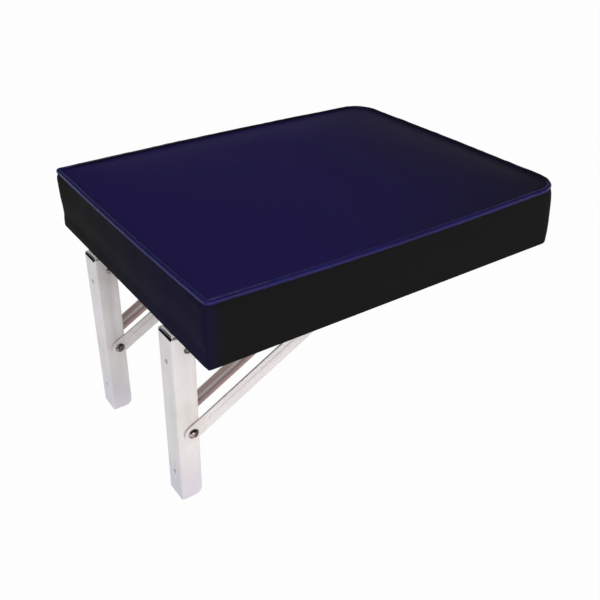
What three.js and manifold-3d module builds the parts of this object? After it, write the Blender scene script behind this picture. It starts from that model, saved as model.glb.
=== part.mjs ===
// A wall bench seat that folds down flat against the wall: a boxed vinyl cushion on two
// steel brackets. Millimetres, +Z up, the wall is the plane y = 0 and the seat reaches out
// towards -Y. The cushion's underside is z = 0 and x = 0 is halfway between the brackets.
import * as THREE from 'three';
import { mergeVertices } from 'three/addons/utils/BufferGeometryUtils.js';
import Module from 'manifold-3d';

const wasm = await Module();
wasm.setup();

// Cushion, driving sizes
const cushionWidth = 358;
const cushionDepth = 472;
const wallGap = 5;
const sideHeight = 76;
const pipingDiameter = 6;
const crownHeight = 7;
const rearCornerRadius = 6;
const frontBottomRadius = 12;
const frontTopRadius = 38;
const sideBulge = 5.5;
const rearBulge = 5.2;
const frontBulge = 4;
const seamDrawIn = 2;
const rearSeamDrawIn = 4;
const cornerLift = 1.5;
const coverThickness = 1.2;
const coverTurnIn = 26;
const coverBottomRadius = 4;
const boardThickness = 12;
const dustCoverThickness = 0.5;
const dustCoverInset = 9;

// Clearances
const seatGap = 0.3;
const pivotGap = 0.3;
const cutOverrun = 5;

// Wall channel, driving sizes
const bracketSpacing = 191;
const channelWidth = 31;
const channelDepth = 26;
const channelTop = 4;
const channelWebTop = 6;
const channelTail = 98;
const steelThickness = 2;
const channelBend = 2.6;
const channelCornerRadius = 9;
const wallHoleRadius = 2.85;
const upperWallHoleDrop = 38;
const lowerWallHoleRise = 35;

// Fold linkage, driving sizes
const pivotOut = 17.5;
const hingeDrop = 21;
const pinAboveHinge = 11.2;
const slotTipMargin = 47;
const braceRestDeg = 29;
const foldDeg = 90;
const braceRatio = 1.29;
const pinRadius = 3;
const domeRadius = 6.25;
const domeHeight = 3.4;
const hingeHeadRadius = 4.4;
const hingeHeadHeight = 2.4;
const hingeSpacerRadius = 6.25;
const innerHeadThickness = 1.2;
const innerHeadRadius = 5;
const crossHeadThickness = 2;
const crossHeadTaper = 0.8;

// Seat arm, driving sizes
const armWidth = 22.5;
const armTipInset = 49.5;
const armBend = 2.4;
const armRearRadius = 14.5;
const armTipHeight = 12;
const armTaperLength = 60;
const rearScrewShares = [0.2, 0.63];
const latchScrewGap = 40;
const tipScrewInset = 14;
const screwShankRadius = 2;
const screwHeadRadius = 4.2;
const screwHeadHeight = 2.2;
const screwHeadShare = 0.6;
const screwReach = 9;

// Brace bar, driving sizes
const braceWidth = 20;
const braceThickness = 2.5;
const braceEyeRadius = 7;
const braceTaperLength = 50;
const ribWidth = 9;
const ribHeight = 1.5;
const ribStart = 26;
const ribEndInset = 50;

// Latch spring, driving sizes
const latchWidth = 12;
const latchThickness = 0.8;
const latchReach = 52;
const latchDrop = 12;
const latchRivetRadius = 2;
const latchRivetHead = 3.6;
const latchRivetHeadHeight = 1.2;

// Mesh fineness
const bendSteps = 3;
const holeSteps = 12;
const roundSteps = 16;
const slotSteps = 15;
const sideSteps = 9;
const cornerSteps = 5;
const pipingSides = 8;
const weldTolerance = 1e-4;

// Fold linkage, derived: the slot ends a set way before the arm's tip when the seat hangs
const degree = Math.PI / 180;
const foldedLean = (braceRestDeg + (1 - braceRatio) * foldDeg) * degree;
const restLean = braceRestDeg * degree;
const armLength = cushionDepth + wallGap - pivotOut - armTipInset;
const slotEnd = armLength - slotTipMargin;
const braceLength = (slotEnd + pinAboveHinge) / (Math.cos(foldedLean) + Math.sin(restLean));
const braceDrop = hingeDrop + braceLength * Math.sin(restLean) - pinAboveHinge;
const channelBottom = braceDrop + channelTail;
const lowerWallHoleDrop = channelBottom - lowerWallHoleRise;
const pinRestStation = braceLength * Math.cos(restLean);
const armScrewStations = [
  ...rearScrewShares.map((share) => share * pinRestStation),
  pinRestStation + latchReach + latchScrewGap,
  armLength - tipScrewInset,
];

// Derived places
const pipingRadius = pipingDiameter / 2;
const boardBottom = dustCoverThickness + 2 * seatGap + coverThickness;
const boardTop = boardBottom + boardThickness;
const sideMiddle = (sideHeight + boardTop) / 2;
const cushionRear = -wallGap;
const cushionFront = -wallGap - cushionDepth;
const hingeZ = -hingeDrop;
const braceZ = -braceDrop;
const channelInnerHalf = channelWidth / 2 - steelThickness;
const armHalf = armWidth / 2;
const armTop = -seatGap;
const armWebUnder = armTop - steelThickness;
const armUnder = hingeZ - armRearRadius;
const barInner = channelWidth / 2 + pivotGap;
const barOuter = barInner + braceThickness;
const headSeat = barOuter + pivotGap;
const slotHalf = pinRadius + seatGap;
const latchUp = armWebUnder - seatGap;

const materials = {
  vinyl: new THREE.MeshStandardMaterial({ color: 0x1e163f, roughness: 0.32, metalness: 0 }),
  band: new THREE.MeshStandardMaterial({ color: 0x15131f, roughness: 0.4, metalness: 0 }),
  piping: new THREE.MeshStandardMaterial({ color: 0x22205c, roughness: 0.28, metalness: 0 }),
  foam: new THREE.MeshStandardMaterial({ color: 0xd9cfa6, roughness: 0.95, metalness: 0 }),
  plywood: new THREE.MeshStandardMaterial({ color: 0xb58b5a, roughness: 0.75, metalness: 0 }),
  dustCloth: new THREE.MeshStandardMaterial({ color: 0x17171a, roughness: 0.95, metalness: 0 }),
  paint: new THREE.MeshStandardMaterial({ color: 0xe9e6e6, roughness: 0.4, metalness: 0.05 }),
  zinc: new THREE.MeshStandardMaterial({ color: 0xb4b4b2, roughness: 0.35, metalness: 0.9 }),
  darkSteel: new THREE.MeshStandardMaterial({ color: 0x3a3836, roughness: 0.25, metalness: 0.9 }),
  spring: new THREE.MeshStandardMaterial({ color: 0x8f9296, roughness: 0.3, metalness: 0.95 }),
};

// Solids: a closed geometry as a manifold, and back
function solidOf(geometry) {
  const bare = geometry.clone();
  bare.deleteAttribute('normal');
  bare.deleteAttribute('uv');
  const merged = mergeVertices(bare, weldTolerance);
  const mesh = new wasm.Mesh({
    numProp: 3,
    vertProperties: new Float32Array(merged.attributes.position.array),
    triVerts: new Uint32Array(merged.index.array),
  });
  return new wasm.Manifold(mesh);
}

function geometryOf(solid) {
  const mesh = solid.getMesh();
  const geometry = new THREE.BufferGeometry();
  geometry.setAttribute('position', new THREE.BufferAttribute(mesh.vertProperties, 3));
  geometry.setIndex(new THREE.BufferAttribute(mesh.triVerts, 1));
  geometry.computeVertexNormals();
  return geometry;
}

// A solid less each of the tools
function bored(blank, tools) {
  return geometryOf(tools.reduce((solid, tool) => solid.subtract(solidOf(tool)), blank));
}

function rodAlongX(radius, x0, x1, y, z, sides) {
  const rod = new THREE.CylinderGeometry(radius, radius, x1 - x0, sides);
  return rod.rotateZ(Math.PI / 2).translate((x0 + x1) / 2, y, z);
}

function rodAlongY(radius, y0, y1, x, z, sides) {
  const rod = new THREE.CylinderGeometry(radius, radius, y1 - y0, sides);
  return rod.translate(x, (y0 + y1) / 2, z);
}

function rodAlongZ(radius, z0, z1, x, y, sides) {
  const rod = new THREE.CylinderGeometry(radius, radius, z1 - z0, sides);
  return rod.rotateX(Math.PI / 2).translate(x, y, (z0 + z1) / 2);
}

// A shape drawn in (y, z) and swept from x0 to x1, its edges sloped by bevel if there is one
function sideProfile(shape, x0, x1, bevel = 0) {
  const swept = new THREE.ExtrudeGeometry(shape, {
    depth: x1 - x0 - 2 * bevel, bevelEnabled: bevel > 0, bevelThickness: bevel, bevelSize: bevel,
    bevelSegments: 1, curveSegments: bendSteps,
  });
  const basis = new THREE.Matrix4().makeBasis(
    new THREE.Vector3(0, 1, 0), new THREE.Vector3(0, 0, 1), new THREE.Vector3(1, 0, 0));
  return swept.applyMatrix4(basis).translate(x0 + bevel, 0, 0);
}

// A shape drawn in plan and raised from z0 to z1
function planProfile(shape, z0, z1) {
  const options = { depth: z1 - z0, bevelEnabled: false, curveSegments: holeSteps / 2 };
  return new THREE.ExtrudeGeometry(shape, options).translate(0, 0, z0);
}

// The section of a bent channel: a web from -half to half at v = 0 and legs down to -depth
function channelShape(half, depth, bend) {
  const inner = half - steelThickness;
  const innerBend = bend - steelThickness;
  const shape = new THREE.Shape();
  shape.moveTo(-half, -depth);
  shape.lineTo(-inner, -depth);
  shape.lineTo(-inner, -steelThickness - innerBend);
  shape.absarc(-inner + innerBend, -steelThickness - innerBend, innerBend, Math.PI, Math.PI / 2, true);
  shape.lineTo(inner - innerBend, -steelThickness);
  shape.absarc(inner - innerBend, -steelThickness - innerBend, innerBend, Math.PI / 2, 0, true);
  shape.lineTo(inner, -depth);
  shape.lineTo(half, -depth);
  shape.lineTo(half, -bend);
  shape.absarc(half - bend, -bend, bend, 0, Math.PI / 2, false);
  shape.lineTo(-half + bend, 0);
  shape.absarc(-half + bend, -bend, bend, Math.PI / 2, Math.PI, false);
  shape.closePath();
  return shape;
}

// Rings of equal length joined side to side. Open lofts are capped at both ends by a fan
// about the ring's middle, closed ones join the last ring to the first.
function loft(rings, isClosed) {
  const count = rings[0].length;
  const points = rings.flat();
  const triangles = [];
  const bands = isClosed ? rings.length : rings.length - 1;
  for (let band = 0; band < bands; band += 1) {
    const low = band * count;
    const high = ((band + 1) % rings.length) * count;
    for (let i = 0; i < count; i += 1) {
      const next = (i + 1) % count;
      triangles.push(low + i, low + next, high + next);
      triangles.push(low + i, high + next, high + i);
    }
  }
  if (!isClosed) {
    for (const end of [0, rings.length - 1]) {
      const middle = new THREE.Vector3();
      rings[end].forEach((point) => middle.add(point));
      points.push(middle.divideScalar(count));
      const hub = points.length - 1;
      for (let i = 0; i < count; i += 1) {
        const a = end * count + i;
        const b = end * count + ((i + 1) % count);
        triangles.push(hub, end === 0 ? b : a, end === 0 ? a : b);
      }
    }
  }
  const geometry = new THREE.BufferGeometry();
  geometry.setAttribute('position', new THREE.Float32BufferAttribute(points.flatMap((p) => p.toArray()), 3));
  geometry.setIndex(triangles);
  geometry.computeVertexNormals();
  return geometry;
}

// The cushion's outline in plan, drawn in by inset. topShare is 0 at the board, where the
// sides are straight, and 1 at the piping, where they bulge between drawn-in corners.
function cushionOutline(inset, topShare) {
  const mix = THREE.MathUtils.lerp;
  const half = cushionWidth / 2 - mix(0, seamDrawIn, topShare) - inset;
  const rear = cushionRear - mix(0, rearSeamDrawIn, topShare) - inset;
  const front = cushionFront + inset;
  const frontRadius = Math.max(mix(frontBottomRadius, frontTopRadius, topShare) - inset, seatGap);
  const rearRadius = Math.max(rearCornerRadius - inset, seatGap);
  const corners = [
    { x: half - rearRadius, y: rear - rearRadius, radius: rearRadius, turn: 0, bulge: rearBulge },
    { x: -half + rearRadius, y: rear - rearRadius, radius: rearRadius, turn: 1, bulge: sideBulge },
    { x: -half + frontRadius, y: front + frontRadius, radius: frontRadius, turn: 2, bulge: frontBulge },
    { x: half - frontRadius, y: front + frontRadius, radius: frontRadius, turn: 3, bulge: sideBulge },
  ];
  const points = [];
  corners.forEach((corner, index) => {
    for (let step = 0; step <= cornerSteps; step += 1) {
      const angle = (corner.turn + step / cornerSteps) * Math.PI / 2;
      points.push(new THREE.Vector2(
        corner.x + corner.radius * Math.cos(angle),
        corner.y + corner.radius * Math.sin(angle)));
    }
    const start = points[points.length - 1];
    const next = corners[(index + 1) % corners.length];
    const outward = (corner.turn + 1) * Math.PI / 2;
    const end = new THREE.Vector2(
      next.x + next.radius * Math.cos(outward), next.y + next.radius * Math.sin(outward));
    for (let step = 1; step < sideSteps; step += 1) {
      const share = step / sideSteps;
      const swell = corner.bulge * topShare * Math.sin(Math.PI * share);
      points.push(new THREE.Vector2(
        start.x + (end.x - start.x) * share + swell * Math.cos(outward),
        start.y + (end.y - start.y) * share + swell * Math.sin(outward)));
    }
  });
  return points;
}

function ringAt(inset, topShare, z) {
  return cushionOutline(inset, topShare).map((p) => new THREE.Vector3(p.x, p.y, z));
}

// The top panel: rings that shrink to the middle while the crown rises
const crownShares = [1, 0.98, 0.94, 0.87, 0.75, 0.45];

function crownRing(inset, share, edgeZ) {
  const middle = new THREE.Vector2(0, (cushionRear + cushionFront) / 2);
  const rise = crownHeight * Math.sqrt(1 - share ** 6);
  return cushionOutline(inset, 1).map((p) => new THREE.Vector3(
    middle.x + (p.x - middle.x) * share, middle.y + (p.y - middle.y) * share, edgeZ + rise));
}

function shapeOf(points, holes) {
  const shape = new THREE.Shape(points);
  shape.holes.push(...holes);
  return shape;
}

const bracketSides = [
  { name: 'left', x: -bracketSpacing / 2 },
  { name: 'right', x: bracketSpacing / 2 },
];

const screwPlaces = bracketSides.flatMap(
  (side) => armScrewStations.map((station) => ({ x: side.x, y: -pivotOut - station })));

function screwHoles() {
  return screwPlaces.map((place) => new THREE.Path().absarc(
    place.x, place.y, screwShankRadius + seatGap, 0, 2 * Math.PI, false));
}

function seatBoard() {
  const outline = cushionOutline(coverThickness + seatGap, 0);
  return planProfile(shapeOf(outline, screwHoles()), boardBottom, boardTop);
}

function foamPad() {
  const inset = coverThickness + 2 * seatGap;
  const edgeInset = inset + coverThickness;
  const edge = sideHeight - pipingRadius - coverThickness - seatGap;
  const topEdge = sideHeight - coverThickness - 2 * seatGap;
  const rings = [
    ringAt(inset, 0, boardTop + seatGap),
    ringAt(inset, 0.5, sideMiddle),
    ringAt(edgeInset, 1, edge),
  ];
  crownShares.forEach((share) => rings.push(crownRing(inset + pipingRadius, share, topEdge)));
  return loft(rings, false);
}

function coverTop() {
  const inset = pipingRadius + seatGap;
  const under = sideHeight - coverThickness;
  const lower = [...crownShares].reverse().map((share) => crownRing(inset, share, under));
  const upper = crownShares.map((share) => crownRing(inset, share, sideHeight));
  return loft([...lower, ...upper], false);
}

// The boxing band: up the sides from under the piping, turned in below the board
function coverBand() {
  const top = sideHeight - pipingRadius - seatGap;
  const under = dustCoverThickness + seatGap;
  const outerArc = [0, 0.5, 1].map((share) => {
    const angle = share * Math.PI / 2;
    const inward = coverBottomRadius * (1 - Math.cos(angle));
    return ringAt(inward, 0, under + coverBottomRadius * (1 - Math.sin(angle)));
  });
  const rings = [
    ringAt(coverThickness, 1, top),
    ringAt(0, 0.5, sideMiddle),
    ringAt(0, 0, boardTop),
    ...outerArc,
    ringAt(coverTurnIn, 0, under),
    ringAt(coverTurnIn, 0, under + coverThickness),
    ringAt(coverThickness, 0, under + coverThickness),
    ringAt(coverThickness, 0, boardTop),
    ringAt(coverThickness, 0.5, sideMiddle),
    ringAt(2 * coverThickness, 1, top),
  ];
  return loft(rings.reverse(), true);
}

// Welt cord along the seam, a closed tube whose ends meet at the rear
function pipingCord() {
  const path = cushionOutline(0, 1);
  const half = cushionWidth / 2;
  const middleY = (cushionRear + cushionFront) / 2;
  const rings = path.map((point, index) => {
    const before = path[(index + path.length - 1) % path.length];
    const after = path[(index + 1) % path.length];
    const along = new THREE.Vector2().subVectors(after, before).normalize();
    const outward = new THREE.Vector3(along.y, -along.x, 0);
    const cornerShare = Math.abs(point.x / half) * Math.abs((point.y - middleY) / (cushionDepth / 2));
    const lift = cornerLift * cornerShare ** 4;
    return Array.from({ length: pipingSides }, (unused, side) => {
      const angle = 2 * Math.PI * side / pipingSides;
      return new THREE.Vector3(point.x, point.y, sideHeight + lift)
        .addScaledVector(outward, pipingRadius * Math.cos(angle))
        .add(new THREE.Vector3(0, 0, -pipingRadius * Math.sin(angle)));
    });
  });
  return loft(rings, true);
}

function dustCover() {
  return planProfile(shapeOf(cushionOutline(dustCoverInset, 0), screwHoles()), 0, dustCoverThickness);
}

// Wall channel about x = 0: the web lies on the wall and the flanges stand out from it
function wallChannel() {
  const section = new THREE.ExtrudeGeometry(
    channelShape(channelWidth / 2, channelDepth, channelBend),
    { depth: channelBottom - channelTop, bevelEnabled: false, curveSegments: bendSteps });
  section.translate(0, 0, -channelBottom);
  const side = new THREE.Shape();
  const front = -channelDepth;
  side.moveTo(cutOverrun, -channelBottom - cutOverrun);
  side.lineTo(0, -channelBottom);
  side.lineTo(front + channelCornerRadius, -channelBottom);
  side.absarc(
    front + channelCornerRadius, -channelBottom + channelCornerRadius, channelCornerRadius,
    -Math.PI / 2, -Math.PI, true);
  side.lineTo(front, -channelTop - channelCornerRadius);
  side.absarc(
    front + channelCornerRadius, -channelTop - channelCornerRadius, channelCornerRadius,
    Math.PI, Math.PI / 2, true);
  side.lineTo(-channelBend, -channelTop);
  side.lineTo(-channelBend, -channelWebTop);
  side.lineTo(cutOverrun, -channelWebTop);
  side.closePath();
  const envelope = sideProfile(side, -channelWidth, channelWidth);
  const bores = [
    rodAlongX(pinRadius + pivotGap, -channelWidth, channelWidth, -pivotOut, hingeZ, holeSteps),
    rodAlongX(pinRadius + pivotGap, -channelWidth, channelWidth, -pivotOut, braceZ, holeSteps),
    rodAlongY(wallHoleRadius, -channelDepth, cutOverrun, 0, -upperWallHoleDrop, holeSteps),
    rodAlongY(wallHoleRadius, -channelDepth, cutOverrun, 0, -lowerWallHoleDrop, holeSteps),
  ];
  const blank = solidOf(section).intersect(solidOf(envelope));
  return bored(blank, bores);
}

// Where the cross pin stands in the arm at a fold angle, as distances along the arm from
// the hinge and below the hinge
function pinPlace(fold) {
  const lean = (braceRestDeg + (1 - braceRatio) * fold) * degree;
  const drop = braceDrop - hingeDrop;
  return {
    along: braceLength * Math.cos(lean) + drop * Math.sin(fold * degree),
    below: drop * Math.cos(fold * degree) - braceLength * Math.sin(lean),
  };
}

const pinPath = Array.from({ length: slotSteps + 1 }, (unused, step) => {
  const place = pinPlace(foldDeg * step / slotSteps);
  return new THREE.Vector2(-pivotOut - place.along, hingeZ - place.below);
});
const pinRest = pinPath[0];
const latchRivetY = pinRest.x - latchReach + latchWidth / 2;

// The curved slot that the cross pin runs in, with round ends
function slotShape() {
  const normals = pinPath.map((point, index) => {
    const before = pinPath[Math.max(index - 1, 0)];
    const after = pinPath[Math.min(index + 1, pinPath.length - 1)];
    const along = new THREE.Vector2().subVectors(after, before).normalize();
    return new THREE.Vector2(-along.y, along.x);
  });
  const offset = (index, side) => pinPath[index].clone().addScaledVector(normals[index], side * slotHalf);
  const capSteps = bendSteps * 2;
  const cap = (index, turn) => Array.from({ length: capSteps - 1 }, (unused, step) => {
    const arm = normals[index].clone().multiplyScalar(turn * slotHalf);
    const angle = -Math.PI * (step + 1) / capSteps;
    return pinPath[index].clone().add(arm.rotateAround(new THREE.Vector2(), angle));
  });
  const last = pinPath.length - 1;
  const forward = pinPath.map((unused, index) => offset(index, 1));
  const back = pinPath.map((unused, index) => offset(index, -1)).reverse();
  return new THREE.Shape([...forward, ...cap(last, 1), ...back, ...cap(0, -1)]);
}

function armOutline() {
  const rear = -pivotOut + armRearRadius;
  const tip = -pivotOut - armLength;
  const side = new THREE.Shape();
  side.moveTo(rear, armTop);
  side.lineTo(rear, hingeZ);
  side.absarc(-pivotOut, hingeZ, armRearRadius, 0, -Math.PI / 2, true);
  side.lineTo(tip + armTaperLength, armUnder);
  side.lineTo(tip, armTop - armTipHeight);
  side.lineTo(tip, armTop);
  side.closePath();
  return side;
}

// Seat arm about x = 0: a channel open downwards, screwed up into the board
function seatArm() {
  const length = armLength + armRearRadius;
  const section = new THREE.ExtrudeGeometry(
    channelShape(armHalf, armTop - armUnder, armBend),
    { depth: length, bevelEnabled: false, curveSegments: bendSteps });
  section.rotateX(Math.PI / 2).translate(0, -pivotOut + armRearRadius, armTop);
  const envelope = sideProfile(armOutline(), -armWidth, armWidth);
  const bores = [
    rodAlongX(pinRadius + pivotGap, -armWidth, armWidth, -pivotOut, hingeZ, holeSteps),
    sideProfile(slotShape(), -armWidth, armWidth),
    rodAlongZ(latchRivetRadius + seatGap, armUnder, cutOverrun, 0, latchRivetY, holeSteps),
    ...armScrewStations.map((station) => rodAlongZ(
      screwShankRadius + seatGap, armUnder, cutOverrun, 0, -pivotOut - station, holeSteps)),
  ];
  const blank = solidOf(section).intersect(solidOf(envelope));
  return bored(blank, bores);
}

// A turned piece with its axis along X: pairs of distance along the axis and radius
function turned(pairs) {
  const profile = pairs.map(([along, radius]) => new THREE.Vector2(radius, along));
  return new THREE.LatheGeometry(profile, roundSteps).rotateZ(-Math.PI / 2);
}

// A domed head standing on a seat plane, as profile pairs that end on the axis
const domeShares = [[0, 0.96], [0.3, 1], [0.75, 0.75], [1, 0.3]];

function domePairs(seat, radius, height) {
  const pairs = domeShares.map(([rise, spread]) => [seat + rise * height, spread * radius]);
  return [...pairs, [seat + height, 0]];
}

function mirroredPairs(pairs) {
  return [...pairs].reverse().map(([along, radius]) => [-along, radius]);
}

// Through pin of the seat hinge, with a dome outside each flange
function hingePin() {
  const seat = channelWidth / 2 + pivotGap;
  const head = [[seat, pinRadius], ...domePairs(seat, hingeHeadRadius, hingeHeadHeight)];
  return turned([...mirroredPairs(head), ...head]);
}

// A ring that fits round a pin, as closed profile pairs
function collar(inner, outer, radius) {
  const bore = pinRadius + pivotGap;
  return [[inner, bore], [inner, radius], [outer, radius], [outer, bore], [inner, bore]];
}

function hingeSpacer() {
  const inner = armHalf + seatGap;
  const outer = channelInnerHalf - seatGap;
  return turned(collar(inner, outer, hingeSpacerRadius));
}

// Rivet of a brace bar: a thin head inside the channel and a dome outside the bar
function braceRivet() {
  const inside = channelInnerHalf - pivotGap;
  return turned([
    [inside - innerHeadThickness, 0], [inside - innerHeadThickness, innerHeadRadius],
    [inside, innerHeadRadius], [inside, pinRadius], [headSeat, pinRadius],
    ...domePairs(headSeat, domeRadius, domeHeight),
  ]);
}

// Cross pin of a bracket: joins its two bars and runs in the arm's slots
function crossPin() {
  const head = [
    [headSeat, pinRadius], [headSeat, innerHeadRadius],
    [headSeat + crossHeadThickness, innerHeadRadius * crossHeadTaper], [headSeat + crossHeadThickness, 0],
  ];
  return turned([...mirroredPairs(head), ...head]);
}

function pinSpacer() {
  const inner = armHalf + seatGap;
  const outer = barInner - seatGap;
  return turned(collar(inner, outer, innerHeadRadius));
}

// The pressed rib's outline, half wide and round at both ends
function ribShape(half) {
  const near = -ribStart;
  const far = -braceLength + ribEndInset;
  const rib = new THREE.Shape();
  rib.moveTo(near, -half);
  rib.absarc(near, 0, half, -Math.PI / 2, Math.PI / 2, false);
  rib.lineTo(far, half);
  rib.absarc(far, 0, half, Math.PI / 2, Math.PI * 1.5, false);
  rib.closePath();
  return rib;
}

// Brace bar lying along -Y from its lower pivot, the pressed rib standing out towards +X
function braceBar() {
  const half = braceWidth / 2;
  const shape = new THREE.Shape();
  shape.moveTo(0, -half);
  shape.absarc(0, 0, half, -Math.PI / 2, Math.PI / 2, false);
  shape.lineTo(-braceLength + braceTaperLength, half);
  shape.lineTo(-braceLength, braceEyeRadius);
  shape.absarc(-braceLength, 0, braceEyeRadius, Math.PI / 2, Math.PI * 1.5, false);
  shape.lineTo(-braceLength + braceTaperLength, -half);
  shape.closePath();
  const ridge = sideProfile(
    ribShape(ribWidth / 2 - ribHeight), barOuter - ribHeight, barOuter + ribHeight, ribHeight);
  const groove = sideProfile(
    ribShape(ribWidth / 2 - braceThickness), barInner - ribHeight, barInner + ribHeight, ribHeight);
  const bores = [0, -braceLength].map((y) => rodAlongX(
    pinRadius + pivotGap, barInner - cutOverrun, barOuter + cutOverrun, y, 0, holeSteps));
  const blank = solidOf(sideProfile(shape, barInner, barOuter)).add(solidOf(ridge));
  return bored(blank, [groove, ...bores]);
}

// Leaf spring under the arm's web: its turned-down end stands in the cross pin's way
function latchSpring() {
  const near = pinRest.x - pinRadius - seatGap;
  const far = pinRest.x - latchReach;
  const profile = new THREE.Shape();
  profile.moveTo(near, latchUp);
  profile.lineTo(far, latchUp);
  profile.lineTo(far, latchUp - latchThickness);
  profile.lineTo(near - latchThickness, latchUp - latchThickness);
  profile.lineTo(near - latchThickness, latchUp - latchDrop);
  profile.lineTo(near, latchUp - latchDrop);
  profile.closePath();
  const leaf = sideProfile(profile, -latchWidth / 2, latchWidth / 2);
  const bore = rodAlongZ(
    latchRivetRadius + seatGap, latchUp - cutOverrun, cutOverrun, 0, latchRivetY, holeSteps);
  return bored(solidOf(leaf), [bore]);
}

// Rivet up through the latch spring and the arm's web
function latchRivet() {
  const low = latchUp - latchThickness - seatGap;
  const profile = [
    [0, low - latchRivetHeadHeight], [latchRivetHead, low - latchRivetHeadHeight / 2], [latchRivetHead, low],
    [latchRivetRadius, low], [latchRivetRadius, armTop], [0, armTop],
  ].map(([radius, height]) => new THREE.Vector2(radius, height));
  const rivet = new THREE.LatheGeometry(profile, holeSteps).rotateX(Math.PI / 2);
  return rivet.translate(0, latchRivetY, 0);
}

// Pan-head screw from inside an arm up into the board
function armScrew(station) {
  const low = armWebUnder - seatGap;
  const profile = [
    [0, low - screwHeadHeight], [screwHeadRadius * screwHeadShare, low - screwHeadHeight],
    [screwHeadRadius, low - screwHeadHeight * screwHeadShare], [screwHeadRadius, low],
    [screwShankRadius, low], [screwShankRadius, boardBottom + screwReach], [0, boardBottom + screwReach],
  ].map(([radius, height]) => new THREE.Vector2(radius, height));
  const screw = new THREE.LatheGeometry(profile, holeSteps).rotateX(Math.PI / 2);
  return screw.translate(0, -pivotOut - station, 0);
}

const bench = new THREE.Group();

function addPiece(parent, name, geometry, material) {
  const piece = new THREE.Mesh(geometry, material);
  piece.name = name;
  parent.add(piece);
  return piece;
}

addPiece(bench, 'seat_board', seatBoard(), materials.plywood);
addPiece(bench, 'foam_pad', foamPad(), materials.foam);
addPiece(bench, 'cover_top', coverTop(), materials.vinyl);
addPiece(bench, 'cover_band', coverBand(), materials.band);
addPiece(bench, 'piping', pipingCord(), materials.piping);
addPiece(bench, 'dust_cover', dustCover(), materials.dustCloth);

// Each bracket is a group about its own middle plane; a bar's far twin is turned half round
for (const side of bracketSides) {
  const bracket = new THREE.Group();
  bracket.position.x = side.x;
  addPiece(bracket, `${side.name}_wall_channel`, wallChannel(), materials.paint);
  addPiece(bracket, `${side.name}_seat_arm`, seatArm(), materials.paint);
  armScrewStations.forEach((station, index) => {
    addPiece(bracket, `${side.name}_arm_screw_${index + 1}`, armScrew(station), materials.zinc);
  });
  addPiece(bracket, `${side.name}_latch_spring`, latchSpring(), materials.spring);
  addPiece(bracket, `${side.name}_latch_rivet`, latchRivet(), materials.zinc);
  const hinge = addPiece(bracket, `${side.name}_hinge_pin`, hingePin(), materials.darkSteel);
  hinge.position.set(0, -pivotOut, hingeZ);
  const cross = addPiece(bracket, `${side.name}_cross_pin`, crossPin(), materials.darkSteel);
  cross.position.set(0, pinRest.x, pinRest.y);
  for (const [hand, turn] of [['left', Math.PI], ['right', 0]]) {
    const label = `${side.name}_bracket_${hand}`;
    const spacer = addPiece(bracket, `${label}_hinge_spacer`, hingeSpacer(), materials.zinc);
    spacer.position.set(0, -pivotOut, hingeZ);
    spacer.rotation.y = turn;
    const rivet = addPiece(bracket, `${label}_brace_rivet`, braceRivet(), materials.darkSteel);
    rivet.position.set(0, -pivotOut, braceZ);
    rivet.rotation.y = turn;
    const sleeve = addPiece(bracket, `${label}_pin_sleeve`, pinSpacer(), materials.zinc);
    sleeve.position.set(0, pinRest.x, pinRest.y);
    sleeve.rotation.y = turn;
    const pivot = new THREE.Group();
    pivot.position.set(0, -pivotOut, braceZ);
    pivot.rotation.x = -braceRestDeg * degree;
    const bar = addPiece(pivot, `${label}_brace_bar`, braceBar(), materials.paint);
    bar.rotation.y = turn;
    bracket.add(pivot);
  }
  bench.add(bracket);
}

export default bench;
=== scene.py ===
import math

import bmesh
import bpy
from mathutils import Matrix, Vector, noise
from mathutils.kdtree import KDTree


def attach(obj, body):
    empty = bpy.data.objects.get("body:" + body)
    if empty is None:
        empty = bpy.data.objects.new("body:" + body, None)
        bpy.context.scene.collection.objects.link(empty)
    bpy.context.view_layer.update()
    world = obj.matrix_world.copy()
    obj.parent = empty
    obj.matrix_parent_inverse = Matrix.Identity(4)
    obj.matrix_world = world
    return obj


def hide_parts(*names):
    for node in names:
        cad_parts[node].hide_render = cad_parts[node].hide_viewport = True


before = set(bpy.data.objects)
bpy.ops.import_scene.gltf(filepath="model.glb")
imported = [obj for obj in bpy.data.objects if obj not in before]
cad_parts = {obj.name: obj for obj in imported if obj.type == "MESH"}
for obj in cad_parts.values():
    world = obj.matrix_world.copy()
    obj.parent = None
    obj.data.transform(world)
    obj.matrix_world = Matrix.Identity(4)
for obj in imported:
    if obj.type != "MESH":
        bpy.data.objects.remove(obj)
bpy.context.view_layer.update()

print("frame loaded:", len(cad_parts), "nodes")

bracketPlace = 0.0955  # from the middle of the seat to the middle of each bracket
tolerance = 0.0001  # places this close together count as the same


def deselect():
    if bpy.context.mode != "OBJECT":
        bpy.ops.object.mode_set(mode="OBJECT")
    bpy.ops.object.select_all(action="DESELECT")


def hold(*pieces):
    deselect()
    for piece in pieces:
        piece.select_set(True)
    bpy.context.view_layer.objects.active = pieces[0]


def fresh(name):
    # the primitive just added, with its place moved into its mesh
    piece = bpy.context.object
    piece.name = name
    piece.data.name = name
    bpy.ops.object.transform_apply(location=True, rotation=True, scale=True)
    return piece


def middleOf(part):
    if isinstance(part, bmesh.types.BMVert):
        return part.co
    if isinstance(part, bmesh.types.BMFace):
        return part.calc_center_median()
    return (part.verts[0].co + part.verts[1].co) / 2


def pick(piece, kind, test):
    # edit mode with only the chosen vertices, edges or faces selected
    hold(piece)
    bpy.ops.object.mode_set(mode="EDIT")
    bpy.ops.mesh.select_mode(type=kind)
    bpy.ops.mesh.select_all(action="DESELECT")
    edited = bmesh.from_edit_mesh(piece.data)
    parts = {"VERT": edited.verts, "EDGE": edited.edges, "FACE": edited.faces}[kind]
    for part in parts:
        if test(part):
            part.select_set(True)
    bmesh.update_edit_mesh(piece.data)


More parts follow.
